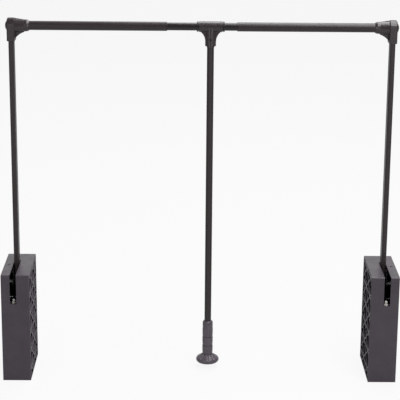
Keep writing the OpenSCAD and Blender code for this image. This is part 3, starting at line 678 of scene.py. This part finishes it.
class WARDROBE_OT_cross_screws(bpy.types.Operator):
    """Turn the tee's screw and the grip's screw, with a domed head and a cross recess"""

    bl_idname = "wardrobe_rail.cross_screws"
    bl_label = "Cross screws"

    def execute(self, context):
        settings = context.scene.wardrobe_rail.screw
        # Each screw's node, and the direction that its head faces
        for node, facing in (("tee_screw", Vector((0, -1, 0))), ("grip_screw", Vector((0, 0, -1)))):
            low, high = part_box(node)
            size = high - low
            head_r, length = size.x / 2, abs(size.dot(facing))
            # From the tip, up the shank, under the head and over its dome
            profile = [(0, -length), (SHANK_RADIUS - HEAD_EDGE, -length),
                       (SHANK_RADIUS, HEAD_EDGE - length), (SHANK_RADIUS, -HEAD_HEIGHT),
                       (head_r, -HEAD_HEIGHT), (head_r, -HEAD_EDGE),
                       (head_r - HEAD_EDGE, -0.2 * HEAD_EDGE), (head_r / 2, 0), (0, 0)]
            points, faces = turned(profile, CROSS_STEPS)
            piece = new_piece(node + "_turned", points, faces, SLOT_OF[node], context)
            reach, half = head_r * CROSS_REACH, settings.cross_width / 2
            hollow(piece, [block(x, y, -settings.cross_depth, HEAD_EDGE, CROSS_TAPER)
                           for x, y in ((reach, half), (half, reach))], context)
            # The top of the head goes to the end of the node's box that it faces
            place = (low + high) / 2
            place -= facing * place.dot(facing)
            place += facing * max(low.dot(facing), high.dot(facing))
            turn = Vector((0, 0, 1)).rotation_difference(facing).to_matrix().to_4x4()
            piece.data.transform(Matrix.Translation(place) @ turn)
            stand_for(piece, node)
        return {"FINISHED"}


class WARDROBE_OT_headless_screws(bpy.types.Operator):
    """Turn the two headless screws of each gearbox, with a hexagon socket in the outer end"""

    bl_idname = "wardrobe_rail.headless_screws"
    bl_label = "Headless screws"

    def execute(self, context):
        settings = context.scene.wardrobe_rail.screw
        for side in SIDES:
            node = side + "_case_screws"
            low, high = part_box(node)
            radius = (high.x - low.x) / 2
            profile = [(0, -HEADLESS_LENGTH), (radius - HEADLESS_EDGE, -HEADLESS_LENGTH),
                       (radius, HEADLESS_EDGE - HEADLESS_LENGTH), (radius, -HEADLESS_EDGE),
                       (radius - HEADLESS_EDGE, 0), (0, 0)]
            points, faces = turned(profile, HEADLESS_STEPS)
            piece = new_piece(node + "_turned", points, faces, SLOT_OF[node], context)
            socket = prism(settings.hex_radius, 6, -settings.hex_depth, HEADLESS_EDGE)
            hollow(piece, [socket], context)
            # The same screw stands in the top, and upside down in the base
            upper = piece.data.copy()
            seat = Vector(((low.x + high.x) / 2, (low.y + high.y) / 2, 0))
            upper.transform(Matrix.Translation(seat + Vector((0, 0, high.z))))
            piece.data.transform(Matrix.Rotation(math.pi, 4, "X"))
            piece.data.transform(Matrix.Translation(seat + Vector((0, 0, low.z))))
            join_into(piece, upper)
            stand_for(piece, node)
        return {"FINISHED"}


class WARDROBE_OT_stage(bpy.types.Operator):
    """Set up the pale floor, the soft light and the camera"""

    bl_idname = "wardrobe_rail.stage"
    bl_label = "Stage"

    def execute(self, context):
        settings = context.scene.wardrobe_rail.stage
        lay_floor(context, settings)
        light_room(context, settings)
        # A long strip from front to back over the right side, which the rail's top mirrors
        soft_light(context, "top_light", settings.top_power, size=(1.15, 5.8),
                   place=(0.73, -0.3, 3.2), target=(0.73, -0.3, 0), along=(-0.22, 1, 0))
        # One on each side of the camera, for the upright faces and the inside of the slots
        for side in (-1, 1):
            soft_light(context, "side_light", settings.side_power, size=(1.6, 2.2),
                       place=(1.6 * side, -2.9, 1.2), target=(0.2 * side, 0, 0.4), along=(0, 0, 1))
        place_camera(context, settings)
        context.scene.view_settings.view_transform = "Standard"
        return {"FINISHED"}


def white_rays(tree, gloss):
    """1 on rays from the camera and through glass, and this share of white on rays off gloss."""
    path = add(tree, "ShaderNodeLightPath")
    clear = add(tree, "ShaderNodeMath",
                {0: path.outputs["Is Camera Ray"], 1: path.outputs["Is Transmission Ray"]},
                operation="MAXIMUM")
    shown = add(tree, "ShaderNodeMath", {0: path.outputs["Is Glossy Ray"], 1: gloss},
                operation="MULTIPLY")
    return add(tree, "ShaderNodeMath", {0: clear.outputs[0], 1: shown.outputs[0]},
               operation="MAXIMUM").outputs[0]


def lay_floor(context, settings):
    """A flat sheet of pale paper under the gearboxes, white to the camera apart from its shadow."""
    half = settings.floor_size / 2
    mesh = bpy.data.meshes.new("floor")
    mesh.from_pydata([(-half, -half, 0), (half, -half, 0), (half, half, 0), (-half, half, 0)],
                     [], [(0, 1, 2, 3)])
    floor = bpy.data.objects.new("floor", mesh)
    context.scene.collection.objects.link(floor)
    material, tree = blank("paper_floor")
    coords = add(tree, "ShaderNodeTexCoord").outputs["Object"]
    # The paper is all but even, with clouds some 60 mm across
    paper = add(tree, "ShaderNodeBsdfDiffuse",
                {"Color": toned(tree, coords, list(settings.floor_colour), 60, 0.004)})
    glow = add(tree, "ShaderNodeEmission", {"Color": (1, 1, 1, 1), "Strength": 1.0})
    share = add(tree, "ShaderNodeMath",
                {0: white_rays(tree, settings.room_gloss), 1: 1 - settings.floor_shade},
                operation="MULTIPLY")
    mix = add(tree, "ShaderNodeMixShader",
              {0: share.outputs[0], 1: paper.outputs[0], 2: glow.outputs[0]})
    add(tree, "ShaderNodeOutputMaterial", {"Surface": mix.outputs[0]})
    mesh.materials.append(material)


# The way from the object to the middle of the backdrop
BACKDROP = (0.0, 0.96, 0.27)
# Cosines of the 26 and 60 degrees from there between which it softly ends
BACKDROP_FULL, BACKDROP_END = 0.9, 0.5


def light_room(context, settings):
    """A dim, even room with a white backdrop behind the object, which gloss and the camera meet."""
    world = bpy.data.worlds.new("room")
    context.scene.world = world
    world.use_nodes = True
    tree = world.node_tree
    tree.nodes.clear()
    gaze = add(tree, "ShaderNodeTexCoord").outputs["Generated"]
    behind = add(tree, "ShaderNodeVectorMath", {0: gaze, 1: BACKDROP}, operation="DOT_PRODUCT")
    backdrop = add(tree, "ShaderNodeMapRange",
                   {"Value": behind.outputs["Value"], "From Min": BACKDROP_END,
                    "From Max": BACKDROP_FULL, "To Min": settings.room_gloss, "To Max": 1.0})
    share = white_rays(tree, backdrop.outputs[0])
    glossy = add(tree, "ShaderNodeLightPath").outputs["Is Glossy Ray"]
    level = add(tree, "ShaderNodeMapRange",
                {"Value": glossy, "To Min": settings.room_light, "To Max": 0.0})
    room = add(tree, "ShaderNodeBackground", {"Color": (1, 1, 1, 1), "Strength": level.outputs[0]})
    white = add(tree, "ShaderNodeBackground", {"Color": (1, 1, 1, 1), "Strength": 1.0})
    mix = add(tree, "ShaderNodeMixShader", {0: share, 1: room.outputs[0], 2: white.outputs[0]})
    add(tree, "ShaderNodeOutputWorld", {"Surface": mix.outputs[0]})


def soft_light(context, name, power, size, place, target, along):
    """A soft light that faces a point, with its second side along a direction."""
    light = bpy.data.lights.new(name, "AREA")
    light.shape = "RECTANGLE"
    light.size, light.size_y = size
    light.energy = power
    ahead = (Vector(target) - Vector(place)).normalized()
    across = ahead.cross(Vector(along)).normalized()
    turn = Matrix((across, across.cross(ahead), -ahead)).transposed().to_4x4()
    lamp = bpy.data.objects.new(name, light)
    lamp.matrix_world = Matrix.Translation(Vector(place)) @ turn
    lamp.visible_camera = False
    context.scene.collection.objects.link(lamp)


def place_camera(context, settings):
    """The camera, turned from level by its pitch, yaw and roll."""
    pitch, yaw, roll = settings.camera_pitch, settings.camera_yaw, settings.camera_roll
    level = Vector((-math.sin(yaw), math.cos(yaw), 0))
    right = Vector((math.cos(yaw), math.sin(yaw), 0))
    up = math.sin(pitch) * level + math.cos(pitch) * Vector((0, 0, 1))
    ahead = math.cos(pitch) * level - math.sin(pitch) * Vector((0, 0, 1))
    camera_x = math.cos(roll) * right + math.sin(roll) * up
    camera_y = math.cos(roll) * up - math.sin(roll) * right
    turn = Matrix((camera_x, camera_y, -ahead)).transposed().to_4x4()
    data = bpy.data.cameras.new("camera")
    data.sensor_width = 36
    data.lens = settings.lens
    camera = bpy.data.objects.new("camera", data)
    camera.matrix_world = Matrix.Translation(settings.camera_place) @ turn
    context.scene.collection.objects.link(camera)
    context.scene.camera = camera


class WARDROBE_PT_rail(bpy.types.Panel):
    """Lists the settings and the steps of the wardrobe rail"""

    bl_idname = "WARDROBE_PT_rail"
    bl_label = "Wardrobe rail"
    bl_space_type = "VIEW_3D"
    bl_region_type = "UI"
    bl_category = "Wardrobe rail"

    def draw(self, context):
        settings = context.scene.wardrobe_rail
        for group in (settings.finish, settings.spring, settings.screw, settings.stage):
            box = self.layout.box()
            for name in group.__annotations__:
                box.prop(group, name)
        for step in STEPS:
            self.layout.operator(step.bl_idname)


STEPS = (WARDROBE_OT_stage, WARDROBE_OT_plastics, WARDROBE_OT_metals, WARDROBE_OT_springs,
         WARDROBE_OT_cross_screws, WARDROBE_OT_headless_screws)
CLASSES = (FinishSettings, SpringSettings, ScrewSettings, StageSettings, RailSettings,
           *STEPS, WARDROBE_PT_rail)


def register():
    for cls in CLASSES:
        bpy.utils.register_class(cls)
    bpy.types.Scene.wardrobe_rail = PointerProperty(type=RailSettings)


def unregister():
    del bpy.types.Scene.wardrobe_rail
    for cls in reversed(CLASSES):
        bpy.utils.unregister_class(cls)


def main():
    register()
    bpy.ops.wardrobe_rail.stage()
    bpy.ops.wardrobe_rail.plastics()
    bpy.ops.wardrobe_rail.metals()
    bpy.ops.wardrobe_rail.springs()
    bpy.ops.wardrobe_rail.cross_screws()
    bpy.ops.wardrobe_rail.headless_screws()


if __name__ == "__main__":
    main()
